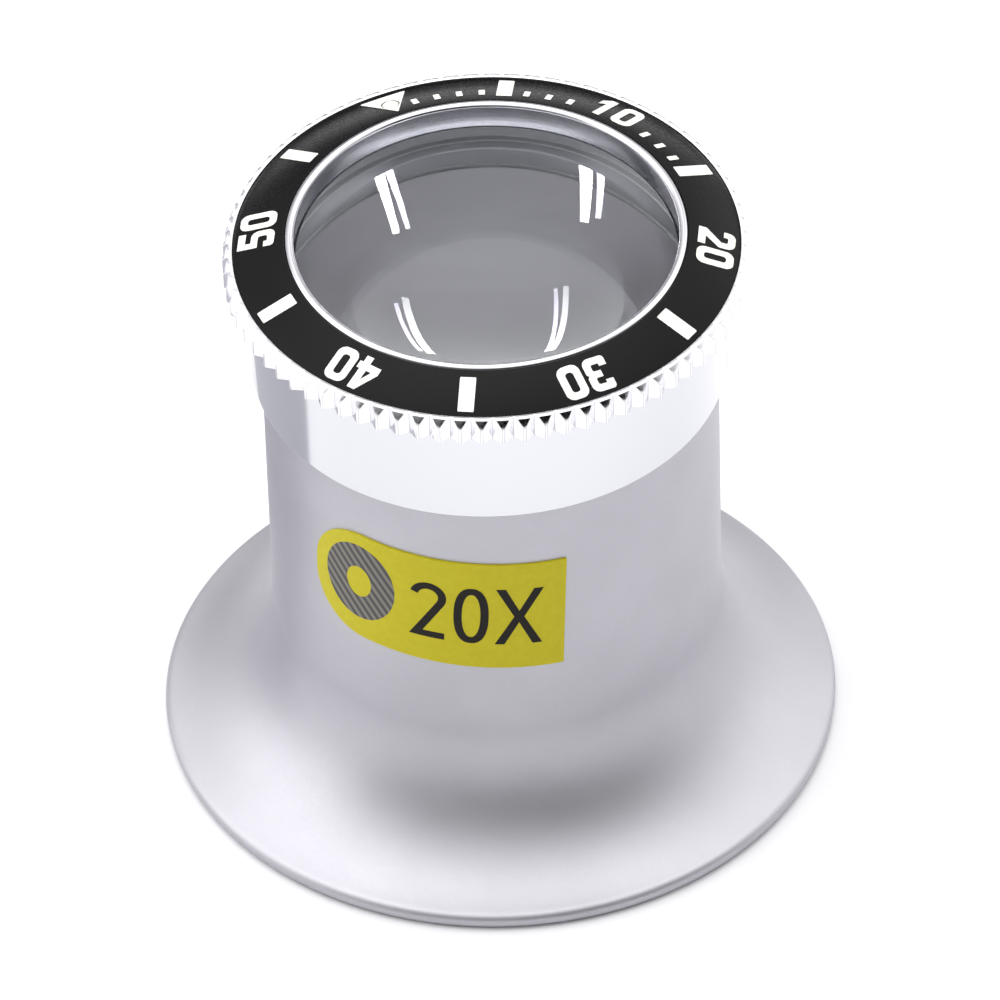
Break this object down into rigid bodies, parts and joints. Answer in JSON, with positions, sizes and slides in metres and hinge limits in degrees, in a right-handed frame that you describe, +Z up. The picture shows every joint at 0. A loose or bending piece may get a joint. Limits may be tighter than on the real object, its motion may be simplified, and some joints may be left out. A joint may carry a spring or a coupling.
{
  "type": "eye loupe",
  "caption": "Eye loupe with a flared aluminium eye cup, a pair of domed lenses and a screw-on head with a coin-edge bezel and a black scale ring.",
  "frame": {"origin": "centre of the rim of the eye cup, on the surface that the loupe stands on", "axes": "+Z up along the optical axis, from the eye cup to the lens head; -Y is the side with the label"},
  "size_m": [0.0374, 0.0374, 0.0348],
  "materials": {
    "satin_aluminium": "bead blasted and clear anodised, satin",
    "polished_aluminium": "polished and clear anodised",
    "coin_edge": "coin edge, bright",
    "black_insert": "gloss black with white figures",
    "pearl": "gloss",
    "lens_glass": "polished, coated",
    "spacer_aluminium": "as turned",
    "gasket_rubber": "matte",
    "label_vinyl": "printed vinyl, semi-gloss"
  },
  "bodies": {
    "barrel": {"eye_cup": "satin_aluminium", "lower_lens": "lens_glass", "lens_spacer": "spacer_aluminium", "upper_lens": "lens_glass", "magnification_label": "label_vinyl"},
    "gasket": {"lens_gasket": "gasket_rubber"},
    "head": {"head_cap": "polished_aluminium", "bezel_ring": "coin_edge", "bezel_insert": "black_insert", "bezel_pearl": "pearl"}
  },
  "joints": [
    {"name": "head_lift", "type": "slide", "parent": "barrel", "child": "gasket", "axis": [0, 0, 1], "range_m": [0, 0.0045]},
    {"name": "head_turn", "type": "hinge", "parent": "gasket", "child": "head", "pos_m": [0, 0, 0.029], "axis": [0, 0, 1], "range_deg": [0, 2160]}
  ],
  "couplings": [
    {"joint": "head_lift", "follows": "head_turn", "m_per_rad": 0.00011937}
  ]
}
